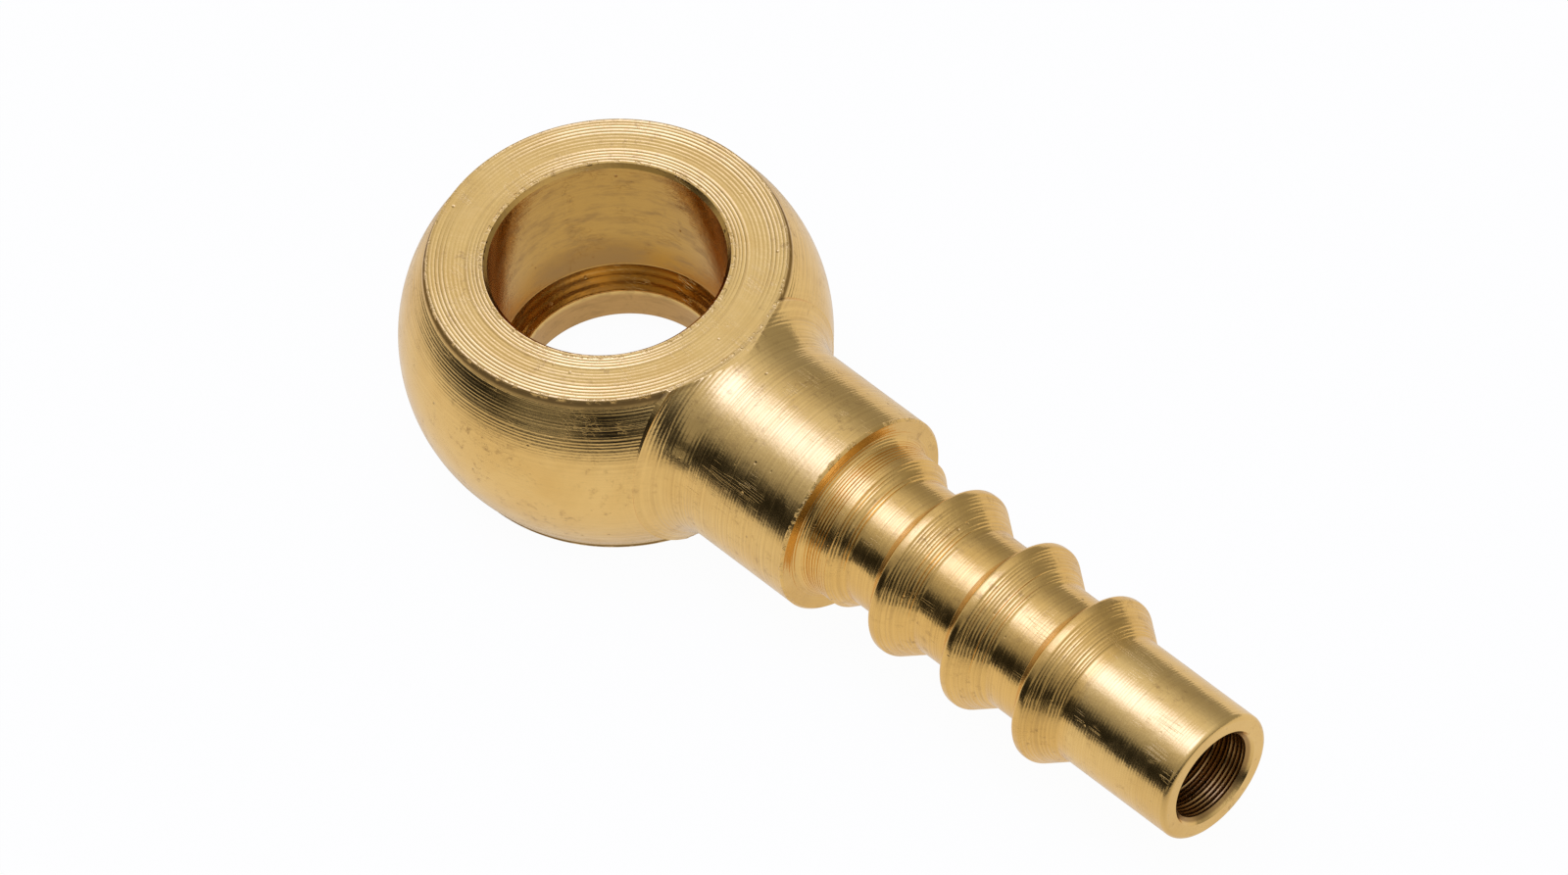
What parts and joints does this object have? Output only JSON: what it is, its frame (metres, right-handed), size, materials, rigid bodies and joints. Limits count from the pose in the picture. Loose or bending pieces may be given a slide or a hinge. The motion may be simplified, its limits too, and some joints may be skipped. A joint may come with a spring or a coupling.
{
  "type": "banjo hose union",
  "caption": "One-piece turned brass banjo union: a ball-shaped eye with flat sealing faces and a stepped bore, and a radial hose tail with barbs, collar and drilled passage.",
  "frame": {"origin": "centre of the ball-shaped eye, on the axis of its through bore, halfway between the two flat sealing faces", "axes": "+Z along the eye's bore towards the wide end of the stepped bore, +X along the stem towards the hose end"},
  "size_m": [0.062, 0.0256, 0.0138],
  "materials": {
    "turned_brass": "as turned, bright, with visible tool lines"
  },
  "bodies": {
    "root": {"banjo_body": "turned_brass"}
  },
  "joints": []
}
